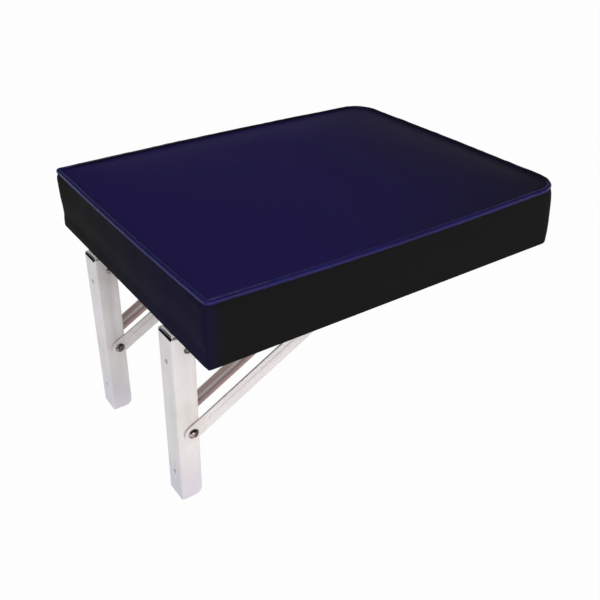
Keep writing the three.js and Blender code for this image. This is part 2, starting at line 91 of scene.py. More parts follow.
def pickAll(piece):
    hold(piece)
    bpy.ops.object.mode_set(mode="EDIT")
    bpy.ops.mesh.select_all(action="SELECT")


def done(piece):
    # doubles merged, faces turned outwards
    pickAll(piece)
    bpy.ops.mesh.remove_doubles(threshold=0.00001)
    bpy.ops.mesh.normals_make_consistent(inside=False)
    bpy.ops.object.mode_set(mode="OBJECT")
    return piece


def copyOf(piece, name):
    hold(piece)
    bpy.ops.object.duplicate(linked=False)
    twin = bpy.context.object
    twin.name = name
    twin.data.name = name
    return twin


def joined(pieces, name):
    hold(*pieces)
    bpy.ops.object.join()
    whole = bpy.context.object
    whole.name = name
    whole.data.name = name
    return whole


def finishedBy(piece, kind, **settings):
    # a modifier set up and applied at once
    hold(piece)
    modifier = piece.modifiers.new(kind.lower(), kind)
    for name, value in settings.items():
        setattr(modifier, name, value)
    bpy.ops.object.modifier_apply(modifier=modifier.name)
    return piece


def smooth(piece, degrees=40):
    hold(piece)
    bpy.ops.object.shade_smooth_by_angle(angle=math.radians(degrees))
    return piece


def removed(piece):
    bpy.data.objects.remove(piece)


def limited(value):
    # kept between 0 and 1
    return min(max(value, 0), 1)


def normalsOf(piece):
    # read before any vertex moves, because each move makes Blender work them all out again
    return [vertex.normal.copy() for vertex in piece.data.vertices]


class Field:
    # one socket of a node tree; numbers and fields combine with the usual operators
    def __init__(self, tree, socket=None):
        self.tree = tree
        self.socket = socket

    def node(self, kind, settings=None, inputs=None, output=0):
        made = self.tree.nodes.new(kind)
        for name, value in (settings or {}).items():
            setattr(made, name, value)
        for name, value in (inputs or {}).items():
            if isinstance(value, Field):
                self.tree.links.new(value.socket, made.inputs[name])
            else:
                made.inputs[name].default_value = value
        return Field(self.tree, made.outputs[output])

    def maths(self, operation, first, second=0.0, clamp=False):
        settings = {"operation": operation, "use_clamp": clamp}
        return self.node("ShaderNodeMath", settings, {0: first, 1: second})

    def __add__(self, other):
        return self.maths("ADD", self, other)

    def __sub__(self, other):
        return self.maths("SUBTRACT", self, other)

    def __rsub__(self, other):
        return self.maths("SUBTRACT", other, self)

    def __mul__(self, other):
        return self.maths("MULTIPLY", self, other)

    __radd__ = __add__
    __rmul__ = __mul__

    def clamped(self):
        return self.maths("ADD", self, 0.0, clamp=True)

    def step(self, low, high):
        # 0 below low, 1 above high, smooth between
        settings = {"interpolation_type": "SMOOTHSTEP"}
        return self.node("ShaderNodeMapRange", settings, {0: self, 1: low, 2: high, 3: 0.0, 4: 1.0})


def colourOf(red, green, blue):
    # screen values from 0 to 255, as linear light
    def linear(value):
        share = value / 255
        return share / 12.92 if share <= 0.04045 else ((share + 0.055) / 1.055) ** 2.4
    return (linear(red), linear(green), linear(blue), 1.0)


class Finish:
    # a material with its shader, and the fields that a maker paints with
    def __init__(self, name):
        self.material = bpy.data.materials.new(name)
        self.material.use_nodes = True
        self.tree = self.material.node_tree
        self.shader = self.tree.nodes["Principled BSDF"]
        self.field = Field(self.tree)
        self.place = self.field.node("ShaderNodeTexCoord", output="Object")

    def set(self, **sockets):
        for name, value in sockets.items():
            socket = self.shader.inputs[name.replace("_", " ")]
            if isinstance(value, Field):
                self.tree.links.new(value.socket, socket)
            else:
                socket.default_value = value
        return self

    def clouds(self, scale, detail=3.0, roughness=0.55, place=None):
        inputs = {"Vector": place or self.place, "Scale": scale, "Detail": detail, "Roughness": roughness}
        return self.field.node("ShaderNodeTexNoise", None, inputs)

    def cells(self, scale):
        inputs = {"Vector": self.place, "Scale": scale}
        return self.field.node("ShaderNodeTexVoronoi", None, inputs, "Distance")

    def blend(self, share, first, second):
        settings = {"data_type": "RGBA"}
        return self.field.node("ShaderNodeMix", settings, {0: share, 6: first, 7: second}, 2)

    def axis(self, name):
        return self.field.node("ShaderNodeSeparateXYZ", None, {0: self.place}, name)

    def bump(self, height, distance, strength=1.0):
        inputs = {"Height": height, "Distance": distance, "Strength": strength}
        self.set(Normal=self.field.node("ShaderNodeBump", None, inputs))
        return self


vinylLook = {
    "topNavy": (31, 22, 76), "topShade": (31, 30, 41), "bandShade": (24, 24, 25), "bandNavy": (25, 22, 47),
    "pipingNavy": (30, 28, 84), "pipingShade": (20, 19, 30), "pipingTint": (0.42, 0.38, 1.0, 1.0),
    "grainScale": 1150.0, "grainDepth": 0.00012, "grainStrength": 0.6, "poreShare": 0.7, "poreGloss": 0.06,
    "foldScale": 420.0, "foldShare": 0.6, "foldColour": 0.22, "handledScale": 26.0, "handledGloss": 0.14,
    # where painted shade darkens the navy, in metres along the axes
    "topShadeFade": (0.18, 0.62), "topSlant": 0.55, "topMottle": 0.16,
    "bandLeft": (-0.12, 0.17), "bandRear": (-0.02, -0.004), "bandNavyShare": 0.9,
    "pipingLeft": (0.160, 0.174), "pipingRear": (-0.035, -0.012), "pipingMottle": 0.5,
    "dullEdge": (0.0735, 0.0755), "dullness": 0.7,
}


def vinyl(name, navy, shadedNavy, gloss, specular, shadeOf, tint=(1, 1, 1, 1), dullOf=None):
    # soft furnishing vinyl: a leather-like grain pressed in, its navy darkened by painted shade where the
    # given mask says
    finish = Finish(name)
    pores = finish.cells(vinylLook["grainScale"])
    folds = finish.clouds(vinylLook["foldScale"], 4.0)
    handled = finish.clouds(vinylLook["handledScale"], 4.0, 0.6)
    colour = finish.blend(shadeOf(finish), colourOf(*navy), colourOf(*shadedNavy))
    roughness = gloss + handled * vinylLook["handledGloss"] + pores * vinylLook["poreGloss"]
    if dullOf:
        roughness = roughness + dullOf(finish)
    finish.set(
        Base_Color=finish.blend(folds * vinylLook["foldColour"], colour, colourOf(*shadedNavy)),
        Roughness=roughness,
        Specular_IOR_Level=specular, Specular_Tint=tint)
    grain = pores * vinylLook["poreShare"] + folds * vinylLook["foldShare"]
    return finish.bump(grain, vinylLook["grainDepth"], vinylLook["grainStrength"])


def shadeFarRight(finish):
    # painted shade: the top panel is bluest over its rear left part, where light falls, and darker towards
    # the front right
    broad = finish.clouds(6.0, 2.0)
    slant = finish.axis("X") * vinylLook["topSlant"]
    away = finish.axis("Y") * -1.0 - slant + (broad - 0.5) * vinylLook["topMottle"]
    return away.step(*vinylLook["topShadeFade"])


def shadeAwayFromCorner(finish):
    # painted shade: the band is navy only round its lit rear left corner, and painted nearly black elsewhere,
    # where it is in shade
    left = (finish.axis("X") * -1.0).step(*vinylLook["bandLeft"])
    rear = finish.axis("Y").step(*vinylLook["bandRear"])
    return 1 - left * rear * vinylLook["bandNavyShare"]


def shadeOnFarSides(finish):
    # painted shade: the piping is navy on the rear and left sides, and painted nearly black on the other two,
    # which are in shade
    left = (finish.axis("X") * -1.0).step(*vinylLook["pipingLeft"])
    rear = finish.axis("Y").step(*vinylLook["pipingRear"])
    mottle = finish.clouds(14.0, 3.0).step(0.35, 0.75) * vinylLook["pipingMottle"]
    return 1 - (left + rear - left * rear) * (1 - mottle)


def dullBelow(finish):
    # the cord's lower half is dull, its crown shines
    return (1 - finish.axis("Z").step(*vinylLook["dullEdge"])) * vinylLook["dullness"]


paintLook = {
    "white": (222, 219, 220), "shade": (211, 206, 204), "grime": (170, 158, 148), "innerShade": (178, 148, 144),
    "coolShade": (206, 203, 222), "peelScale": 900.0,
    "stainScale": 60.0, "stains": (0.62, 0.8), "stainShare": 0.18,
    # painted shade: the brown inner-face shade lies between two distances from the bracket's middle, the cool
    # shade below a height
    "innerShadeFrom": (0.0156, 0.0157), "innerShadeTo": (0.0161, 0.0175), "innerShadeShare": 0.85,
    "coolShadeFrom": (0.15, 0.235), "coolShadeShare": 0.6,
}


def paint():
    # white powder coat: fine orange peel and faint stains, with painted shade that makes it cooler and darker
    # towards the lower ends and brown on the bars' inner faces
    finish = Finish("white_powder_coat")
    peel = finish.clouds(paintLook["peelScale"], 2.0)
    broad = finish.clouds(14.0, 3.0)
    stain = finish.clouds(paintLook["stainScale"], 5.0, 0.65)
    marks = stain.step(*paintLook["stains"]) * paintLook["stainShare"]
    colour = finish.blend(broad.step(0.35, 0.7), colourOf(*paintLook["white"]), colourOf(*paintLook["shade"]))
    # painted shade: the inner sides of the bars are tinted brown, for the warm shade between the bars
    fromMiddle = finish.field.maths("ABSOLUTE", finish.axis("X"))
    offset = finish.field.maths("ABSOLUTE", fromMiddle - bracketPlace)
    inside = offset.step(*paintLook["innerShadeFrom"]) * (1 - offset.step(*paintLook["innerShadeTo"]))
    colour = finish.blend(inside * paintLook["innerShadeShare"], colour, colourOf(*paintLook["innerShade"]))
    # painted shade: the lower ends are tinted cooler and darker
    lowEnd = (finish.axis("Z") * -1.0).step(*paintLook["coolShadeFrom"])
    colour = finish.blend(lowEnd * paintLook["coolShadeShare"], colour, colourOf(*paintLook["coolShade"]))
    finish.set(
        Base_Color=finish.blend(marks, colour, colourOf(*paintLook["grime"])),
        Roughness=0.44 + broad * 0.12 + marks,
        Specular_IOR_Level=0.25)
    return finish.bump(peel, 0.00006, 0.5)


metalLook = {
    "patchScale": 160.0, "patchGloss": 0.15, "fineScale": 2600.0, "fineGloss": 0.06, "fineDepth": 0.00003,
    "zincLight": (190, 190, 186), "zincDark": (150, 150, 146), "springLight": (150, 154, 160),
    "springDark": (112, 116, 122), "black": (84, 74, 74), "paintedHighlight": (186, 172, 170), "paintedHighlightScale": 130.0,
    "paintedHighlightFrom": (0.46, 0.62), "blackGloss": 0.12,
}


def metal(name, light, dark, roughness):
    # plated or bare steel with dull patches and fine marks
    finish = Finish(name)
    patches = finish.clouds(metalLook["patchScale"], 3.0)
    fine = finish.clouds(metalLook["fineScale"], 2.0)
    finish.set(
        Base_Color=finish.blend(patches.step(0.35, 0.7), colourOf(*light), colourOf(*dark)),
        Roughness=roughness + patches * metalLook["patchGloss"] + fine * metalLook["fineGloss"],
        Metallic=1.0)
    return finish.bump(fine, metalLook["fineDepth"], 0.4)


def darkChrome():
    # blackened heads with painted highlights: bright patches stand in for the light the domes reflect
    finish = Finish("black_chrome_painted_highlights")
    paintedHighlight = finish.clouds(metalLook["paintedHighlightScale"], 2.0).step(*metalLook["paintedHighlightFrom"])
    fine = finish.clouds(metalLook["fineScale"], 2.0)
    finish.set(
        Base_Color=finish.blend(paintedHighlight, colourOf(*metalLook["black"]), colourOf(*metalLook["paintedHighlight"])),
        Roughness=metalLook["blackGloss"] + fine * 0.08,
        Metallic=1.0)
    return finish.bump(fine, 0.00002, 0.3)


plyLook = {"face": (205, 170, 122), "grain": (168, 124, 78), "glue": (132, 92, 56), "ply": 0.004}
clothLook = {"dots": (22, 22, 24), "cloth": (38, 38, 41), "dotScale": 640.0, "fibreScale": 1500.0}
foamLook = {"light": (222, 208, 160), "dark": (204, 186, 134), "cellScale": 900.0, "cellDepth": 0.0004}


def plywood():
    finish = Finish("birch_plywood")
    stretched = finish.field.node("ShaderNodeMapping", None, {0: finish.place, "Scale": (1.0, 9.0, 60.0)})
    grain = finish.clouds(22.0, 5.0, 0.6, stretched)
    plies = finish.axis("Z") * (2 * math.pi / plyLook["ply"])
    layer = finish.field.maths("SINE", plies) * 0.5 + 0.5
    colour = finish.blend(grain.step(0.3, 0.75), colourOf(*plyLook["face"]), colourOf(*plyLook["grain"]))
    finish.set(
        Base_Color=finish.blend(layer.step(0.55, 0.8) * 0.45, colour, colourOf(*plyLook["glue"])),
        Roughness=0.62 + grain * 0.2)
    return finish.bump(grain, 0.00015, 0.5)


def dustCloth():
    # black spunbonded cloth with its pressed dot pattern
    finish = Finish("black_dust_cloth")
    dots = finish.cells(clothLook["dotScale"])
    fibres = finish.clouds(clothLook["fibreScale"], 4.0, 0.7)
    finish.set(
        Base_Color=finish.blend(
            dots.step(0.1, 0.45), colourOf(*clothLook["dots"]), colourOf(*clothLook["cloth"])),
        Roughness=0.86 + fibres * 0.12,
        Specular_IOR_Level=0.2)
    return finish.bump(dots * 0.6 + fibres * 0.4, 0.0001, 0.7)


def foam():
    finish = Finish("open_cell_foam")
    cells = finish.cells(foamLook["cellScale"])
    broad = finish.clouds(30.0, 3.0)
    finish.set(
        Base_Color=finish.blend(broad, colourOf(*foamLook["light"]), colourOf(*foamLook["dark"])),
        Roughness=0.9 + cells * 0.08,
        Specular_IOR_Level=0.1)
    return finish.bump(cells, foamLook["cellDepth"], 0.8)


finishes = {
    "vinylTop": vinyl("navy_vinyl", vinylLook["topNavy"], vinylLook["topShade"], 0.3, 0.03, shadeFarRight),
    # painted shade: the band is a darker copy of the navy vinyl, since its sides stand in shade
    "vinylBand": vinyl(
        "navy_band_vinyl_painted_shade", vinylLook["bandNavy"], vinylLook["bandShade"], 0.4, 0.005, shadeAwayFromCorner),
    "vinylPiping": vinyl(
        "navy_piping_vinyl", vinylLook["pipingNavy"], vinylLook["pipingShade"], 0.1, 0.5, shadeOnFarSides,
        vinylLook["pipingTint"], dullBelow),
    "foam": foam(),
    "plywood": plywood(),
    "dustCloth": dustCloth(),
    "paint": paint(),
    "zinc": metal("zinc_plated_steel", metalLook["zincLight"], metalLook["zincDark"], 0.3),
    "darkSteel": darkChrome(),
    "spring": metal("spring_steel", metalLook["springLight"], metalLook["springDark"], 0.26),
}


def dress(piece, finish):
    piece.data.materials.clear()
    piece.data.materials.append(finishes[finish].material)
    return piece


# finishes of the CAD nodes that stay, by the end of their names
nodeFinishes = {
    "seat_board": "plywood", "seat_arm": "paint", "latch_spring": "spring", "latch_rivet": "zinc",
    "hinge_spacer": "zinc", "pin_sleeve": "zinc", "arm_screw_1": "zinc", "arm_screw_2": "zinc",
    "arm_screw_3": "zinc", "arm_screw_4": "zinc",
}
for nodeName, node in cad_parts.items():
    for ending, finishName in nodeFinishes.items():
        if nodeName.endswith(ending):
            node.data.materials.clear()
            node.data.materials.append(finishes[finishName].material)
print("materials made:", len(finishes))


cushion = {
    "width": 0.358, "depth": 0.474, "rear": -0.003, "bottom": 0.0004, "boardTop": 0.0143, "seam": 0.074,
    "rearRadius": 0.003, "frontRadius": 0.012, "frontSeamRadius": 0.032, "bottomEdge": 0.0012,
    # the seam's outline against the board's: drawn in at its corners, bulging between them
    "drawIn": 0.002, "rearDrawIn": 0.001, "frontDrawIn": 0.002, "sideBulge": 0.0045, "rearBulge": 0.0018,
    "frontBulge": 0.002, "cornerLift": 0.0003,
    "sideCuts": 23, "riseCuts": 7, "cordCuts": 4, "longEdge": 0.2, "cordEdge": 0.004, "levelSlack": 0.001,
    # the crown before it swells: its height, and its rings as shares of the seam's outline
    "startCrown": 0.0045, "crownRings": (0.98, 0.94, 0.87, 0.75, 0.45), "crownCurve": (6, 0.75),
    # the cloth: held within so many voxels of the seam, its swelling capped
    "voxel": 0.005, "heldWithin": 1.3, "clothFrames": 20, "pressure": 4.0,
    "topCap": 0.0036, "sideCap": 0.0016,
    # how far from the seam and the board it stays free
    "seamHold": 0.034, "seamPull": (0.0024, 0.009), "softRise": 0.02, "tightRise": 0.03, "fairing": 8,
    "foamInset": 0.0034, "foamLift": 0.0003, "coverCut": 0.0006, "coverThickness": 0.0012,
    "hem": 0.026, "hemHeight": 0.004,
}
cushionMiddle = cushion["rear"] - cushion["depth"] / 2


def outline(name, share, height):
    # a flat panel with rounded corners; share is 0 at the board and 1 at the seam
    half = cushion["width"] / 2 - share * cushion["drawIn"]
    rear = cushion["rear"] - share * cushion["rearDrawIn"]
    front = cushion["rear"] - cushion["depth"] + share * cushion["frontDrawIn"]
    bpy.ops.mesh.primitive_plane_add(size=1, location=(0, (rear + front) / 2, height))
    bpy.context.object.scale = (2 * half, rear - front, 1)
    panel = fresh(name)
    frontRadius = cushion["frontRadius"] + share * (cushion["frontSeamRadius"] - cushion["frontRadius"])
    pick(panel, "VERT", lambda vertex: vertex.co.y > cushionMiddle)
    bpy.ops.mesh.bevel(offset=cushion["rearRadius"], segments=6, affect="VERTICES")
    pick(panel, "VERT", lambda vertex: vertex.co.y < front + cushion["levelSlack"])
    bpy.ops.mesh.bevel(offset=frontRadius, segments=10, affect="VERTICES")
    pick(panel, "EDGE", lambda edge: edge.calc_length() > cushion["longEdge"])
    bpy.ops.mesh.subdivide(number_cuts=cushion["sideCuts"])
    bpy.ops.object.mode_set(mode="OBJECT")
    # the sides swell outwards between the corners
    ends = {"rear": (half - cushion["rearRadius"], cushion["rearBulge"]),
            "front": (half - frontRadius, cushion["frontBulge"])}
    sideStart = front + frontRadius
    sideLength = rear - cushion["rearRadius"] - sideStart
    for vertex in panel.data.vertices:
        x, y, _ = vertex.co
        end = "rear" if y > cushionMiddle else "front"
        reach, bulge = ends[end]
        if abs(y - (rear if end == "rear" else front)) < tolerance and abs(x) < reach:
            swell = share * bulge * math.cos(math.pi * x / (2 * reach))
            vertex.co.y += swell if end == "rear" else -swell
        elif abs(abs(x) - half) < tolerance and sideStart < y < sideStart + sideLength:
            swell = share * cushion["sideBulge"] * math.sin(math.pi * (y - sideStart) / sideLength)
            vertex.co.x += math.copysign(swell, x)
    return panel


def cornerLift(x, y):
    # nothing along the sides, all of it at the corners
    share = abs(x / (cushion["width"] / 2)) * abs((y - cushionMiddle) / (cushion["depth"] / 2))
    return cushion["cornerLift"] * min(share, 1.0) ** 4


def seamBlock():
    # bottom, board edge and seam outlines bridged into one closed block, with a low crown
    loops = [
        outline("block_bottom", 0.0, cushion["bottom"]), outline("block_board", 0.0, cushion["boardTop"]),
        outline("block_seam", 1.0, cushion["seam"])]
    for loop in loops:
        pickAll(loop)
        bpy.ops.mesh.delete(type="ONLY_FACE")
        bpy.ops.object.mode_set(mode="OBJECT")
    block = joined(loops, "block")
    low, board, slack = cushion["bottom"], cushion["boardTop"], cushion["levelSlack"]
    pick(block, "EDGE", lambda edge: middleOf(edge).z < board + slack)
    bpy.ops.mesh.bridge_edge_loops()
    pick(block, "EDGE", lambda edge: middleOf(edge).z > board - slack
         and edge.verts[0].co.z == edge.verts[1].co.z)
    bpy.ops.mesh.bridge_edge_loops(number_cuts=cushion["riseCuts"])
    pick(block, "EDGE", lambda edge: edge.is_boundary and middleOf(edge).z < low + slack)
    bpy.ops.mesh.edge_face_add()
    # the crown: rings that shrink towards the middle while they rise
    pick(block, "EDGE", lambda edge: edge.is_boundary)
    lastShare = 1.0
    lastRise = 0.0
    flatness, steepness = cushion["crownCurve"]
    for share in cushion["crownRings"]:
        rise = cushion["startCrown"] * (1 - share ** flatness) ** steepness
        bpy.ops.mesh.extrude_region_move(TRANSFORM_OT_translate={"value": (0, 0, rise - lastRise)})
        shrink = share / lastShare
        bpy.ops.transform.resize(value=(shrink, shrink, 1), center_override=(0, cushionMiddle, 0))
        lastShare, lastRise = share, rise
    bpy.ops.mesh.edge_face_add()
    pick(block, "EDGE", lambda edge: all(vertex.co.z < low + tolerance for vertex in edge.verts))
    bpy.ops.mesh.bevel(offset=cushion["bottomEdge"], segments=3, affect="EDGES")
    bpy.ops.object.mode_set(mode="OBJECT")
    return done(block)


def remeshed(block):
    # even small faces, laid back on the block so that its edges stay where they are
    pad = copyOf(block, "pad")
    finishedBy(pad, "REMESH", mode="VOXEL", voxel_size=cushion["voxel"])
    return finishedBy(pad, "SHRINKWRAP", target=block, wrap_method="NEAREST_SURFACEPOINT")


def treeOf(points):
    tree = KDTree(len(points))
    for index, point in enumerate(points):
        tree.insert(point, index)
    tree.balance()
    return tree


def swollen(pad, tree):
    # blown up as cloth over its foam, held at the seam and by the board
    rest = [vertex.co.copy() for vertex in pad.data.vertices]
    held = pad.vertex_groups.new(name="held")
    for vertex in pad.data.vertices:
        nearSeam = tree.find(vertex.co)[2] < cushion["heldWithin"] * cushion["voxel"]
        if vertex.co.z < cushion["boardTop"] or nearSeam:
            held.add([vertex.index], 1.0, "REPLACE")
    hold(pad)
    cloth = pad.modifiers.new("cloth", "CLOTH")
    cloth.settings.use_pressure = True
    cloth.settings.uniform_pressure_force = cushion["pressure"]
    cloth.settings.effector_weights.gravity = 0
    cloth.settings.vertex_group_mass = "held"
    scene = bpy.context.scene
    for frameNumber in range(1, cushion["clothFrames"] + 1):
        scene.frame_set(frameNumber)
    bpy.ops.object.modifier_apply(modifier=cloth.name)
    scene.frame_set(1)
    for vertex, start in zip(pad.data.vertices, rest):
        move = vertex.co - start
        cap = cushion["topCap"] if start.z > cushion["seam"] else cushion["sideCap"]
        free = min(tree.find(start)[2] / cushion["seamHold"], 1)
        if move.length > 0:
            capped = cap * math.tanh(move.length / cap) / move.length
            vertex.co = start + move * capped * free * free * (3 - 2 * free)
    return pad


def settled(pad, block, tree):
    # faired away from the seam, made finer, and drawn tight round the board and into the seam
    soft = pad.vertex_groups.new(name="soft")
    for vertex in pad.data.vertices:
        free = min(tree.find(vertex.co)[2] / cushion["seamHold"], 1)
        aboveBoard = limited((vertex.co.z - cushion["boardTop"]) / cushion["softRise"])
        soft.add([vertex.index], free * aboveBoard, "REPLACE")
    finishedBy(pad, "SMOOTH", factor=0.5, iterations=cushion["fairing"], vertex_group="soft")
    finishedBy(pad, "SUBSURF", levels=1, render_levels=1)
    tight = pad.vertex_groups.new(name="tight")
    for vertex in pad.data.vertices:
        weight = 1 - limited((vertex.co.z - cushion["boardTop"]) / cushion["tightRise"])
        tight.add([vertex.index], weight, "REPLACE")
    finishedBy(pad, "SHRINKWRAP", target=block, wrap_method="NEAREST_SURFACEPOINT", vertex_group="tight")
    pad.vertex_groups.clear()
    near, far = cushion["seamPull"]
    for vertex in pad.data.vertices:
        point, _, away = tree.find(vertex.co)
        if away < far:
            pulled = far * max(away - near, 0) / (far - near)
            vertex.co = point + (vertex.co - point) * (pulled / away)
    return pad


def lifted(piece):
    # the corners of the seam stand a little higher than its sides
    for vertex in piece.data.vertices:
        share = limited((vertex.co.z - cushion["boardTop"]) / (cushion["seam"] - cushion["boardTop"]))
        vertex.co.z += share * cornerLift(vertex.co.x, vertex.co.y)
    return piece


def cutAt(piece, height, keepAbove, fill):
    pickAll(piece)
    bpy.ops.mesh.bisect(
        plane_co=(0, 0, height), plane_no=(0, 0, 1), use_fill=fill, clear_inner=keepAbove,
        clear_outer=not keepAbove)
    bpy.ops.object.mode_set(mode="OBJECT")
    return piece


seamLoop = outline("seam_loop", 1.0, cushion["seam"])
pickAll(seamLoop)
bpy.ops.mesh.delete(type="ONLY_FACE")
pick(seamLoop, "EDGE", lambda edge: edge.calc_length() > cushion["cordEdge"])
bpy.ops.mesh.subdivide(number_cuts=cushion["cordCuts"])
bpy.ops.object.mode_set(mode="OBJECT")
seamTree = treeOf([vertex.co.copy() for vertex in seamLoop.data.vertices])
block = seamBlock()
print("cushion block made:", len(block.data.vertices), "vertices")
pad = remeshed(block)
swollen(pad, seamTree)
print("cushion swollen:", len(pad.data.vertices), "vertices")

filling = copyOf(pad, "foam_filling")
lifted(filling)
pickAll(filling)
bpy.ops.transform.shrink_fatten(value=-cushion["foamInset"])
bpy.ops.object.mode_set(mode="OBJECT")
done(cutAt(filling, cushion["boardTop"] + cushion["foamLift"], True, True))
dress(filling, "foam")
smooth(filling)
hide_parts("foam_pad")
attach(filling, "seat")

settled(pad, block, seamTree)
removed(block)

cutHeight = cushion["seam"] - cushion["coverCut"]
topPanel = cutAt(copyOf(pad, "top_panel"), cutHeight, True, False)
lifted(topPanel)
finishedBy(topPanel, "SOLIDIFY", thickness=cushion["coverThickness"], offset=-1.0)
dress(done(topPanel), "vinylTop")
smooth(topPanel)
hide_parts("cover_top")
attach(topPanel, "seat")

sideBand = cutAt(pad, cutHeight, False, False)
sideBand.name = "side_band"
sideBand.data.name = "side_band"
halfHem = cushion["width"] / 2 - cushion["hem"]
hemRear = cushion["rear"] - cushion["hem"]
hemFront = cushion["rear"] - cushion["depth"] + cushion["hem"]


def underHem(face):
    middle = face.calc_center_median()
    return middle.z < cushion["hemHeight"] and abs(middle.x) < halfHem and hemFront < middle.y < hemRear


pick(sideBand, "FACE", underHem)
bpy.ops.mesh.delete(type="FACE")
bpy.ops.object.mode_set(mode="OBJECT")


gathers = {
    "depth": 0.0005, "fade": 0.011, "scale": 75, "cornerGain": 1.5, "broadDepth": 0.0004, "broadScale": 22,
    "broadRise": 0.03, "startRise": 0.02, "proud": 0.0005, "lowProud": 0.0005, "lowRise": 0.012,
    # how far the foam fills out the corners, and over what height
    "rearPuff": 0.0045, "frontPuff": 0.0005, "puffRise": 0.03, "puffGap": 0.001, "puffFade": 0.006,
}


def pucker(piece):
    # small gathers where the band is sewn under the piping, strongest at the corners
    for vertex, outwards in zip(piece.data.vertices, normalsOf(piece)):
        x, y, z = vertex.co
        below = max(cushion["seam"] - z, 0)
        fade = math.exp(-below / gathers["fade"])
        sideways = noise.noise(Vector((x * gathers["scale"], y * gathers["scale"], z * 18 + 4)))
        broad = noise.noise(Vector((x * gathers["broadScale"], y * gathers["broadScale"], 9.5)))
        cornerShare = (cornerLift(x, y) / cushion["cornerLift"]) ** 2
        corner = 1 + gathers["cornerGain"] * cornerShare
        push = gathers["depth"] * fade * corner * sideways
        push += gathers["broadDepth"] * broad * min(z / gathers["broadRise"], 1)
        low = gathers["lowProud"] * max(1 - z / gathers["lowRise"], 0)
        rise = limited((z - gathers["lowRise"]) / gathers["puffRise"])
        rise *= min(max(below - gathers["puffGap"], 0) / gathers["puffFade"], 1)
        puff = gathers["rearPuff"] if y > cushionMiddle else gathers["frontPuff"]
        puff *= rise * cornerShare
        vertex.co += outwards * (gathers["proud"] + low + puff + push * min(z / gathers["startRise"], 1))
    return piece


pucker(sideBand)
lifted(sideBand)
finishedBy(sideBand, "SOLIDIFY", thickness=cushion["coverThickness"], offset=-1.0)
dress(done(sideBand), "vinylBand")
smooth(sideBand)
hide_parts("cover_band")
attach(sideBand, "seat")
print("cushion covers made")

pipingShape = {
    "radius": 0.003, "roundness": 4, "wander": 0.00025, "wanderScale": 30,
    "ripple": 0.0003, "rippleScale": 110,
}


def pipingCord():
    # a welt cord swept along the seam, a little uneven as sewn by hand
    for vertex in seamLoop.data.vertices:
        x, y, z = vertex.co
        wander = noise.noise(Vector((x * pipingShape["wanderScale"], y * pipingShape["wanderScale"], 1.7)))
        vertex.co.z = cushion["seam"] + cornerLift(x, y) + pipingShape["wander"] * wander
    hold(seamLoop)
    bpy.ops.object.convert(target="CURVE")
    cord = bpy.context.object
    cord.data.bevel_depth = pipingShape["radius"]
    cord.data.bevel_resolution = pipingShape["roundness"]
    bpy.ops.object.convert(target="MESH")
    cord = bpy.context.object
    cord.name = "piping_cord"
    cord.data.name = "piping_cord"
    for vertex, outwards in zip(cord.data.vertices, normalsOf(cord)):
        x, y, z = vertex.co
        ripple = noise.noise(Vector((x * pipingShape["rippleScale"], y * pipingShape["rippleScale"], z * 60)))
        vertex.co += outwards * pipingShape["ripple"] * ripple
    return done(cord)


piping = smooth(dress(pipingCord(), "vinylPiping"))
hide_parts("piping")
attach(piping, "seat")
print("piping made:", len(piping.data.vertices), "vertices")

dustSheet = {
    "width": 0.340, "depth": 0.454, "middle": -0.241, "height": 0.0004, "thickness": 0.0004,
    "sag": 0.0016, "cell": 0.009, "armHalf": 0.014, "rim": 0.007, "sagReach": 0.03, "rippleScale": 26,
}


def underCloth():
    # the dust cloth stapled under the board, sagging a little between the arms
    panel = outline("dust_sheet", 0.0, dustSheet["height"])
    width, depth, middle = dustSheet["width"], dustSheet["depth"], dustSheet["middle"]
    pickAll(panel)
    bpy.ops.transform.resize(
        value=(width / cushion["width"], depth / cushion["depth"], 1),
        center_override=(0, cushionMiddle, dustSheet["height"]))
    bpy.ops.transform.translate(value=(0, middle - cushionMiddle, 0))
    for index in range(1, int(width / dustSheet["cell"])):
        pickAll(panel)
        bpy.ops.mesh.bisect(plane_co=(-width / 2 + index * dustSheet["cell"], 0, 0), plane_no=(1, 0, 0))
    for index in range(1, int(depth / dustSheet["cell"])):
        pickAll(panel)
        bpy.ops.mesh.bisect(
            plane_co=(0, middle + depth / 2 - index * dustSheet["cell"], 0), plane_no=(0, 1, 0))
    bpy.ops.object.mode_set(mode="OBJECT")
    for vertex in panel.data.vertices:
        x, y, _ = vertex.co
        rim, reach, scale = dustSheet["rim"], dustSheet["sagReach"], dustSheet["rippleScale"]
        fromArm = min(abs(abs(x) - bracketPlace) - dustSheet["armHalf"], reach)
        fromRim = min(width / 2 - rim - abs(x), depth / 2 - rim - abs(y - middle), reach)
        slack = max(min(fromArm, fromRim), 0) / reach
        ripple = 0.7 + 0.5 * noise.noise(Vector((x * scale, y * scale, 3.1)))
        vertex.co.z -= dustSheet["sag"] * slack * ripple
    finishedBy(panel, "SOLIDIFY", thickness=dustSheet["thickness"], offset=0.0)
    return done(panel)


dust = smooth(dress(underCloth(), "dustCloth"))
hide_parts("dust_cover")
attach(dust, "seat")

staple = {
    "crown": 0.0105, "wire": 0.0006, "leg": 0.0035, "sunk": 0.0001, "edge": 0.00012, "inset": 0.0165,
    "pitch": 0.038, "fromEnd": 0.006, "armGap": 0.019, "tilt": 0.06,
}


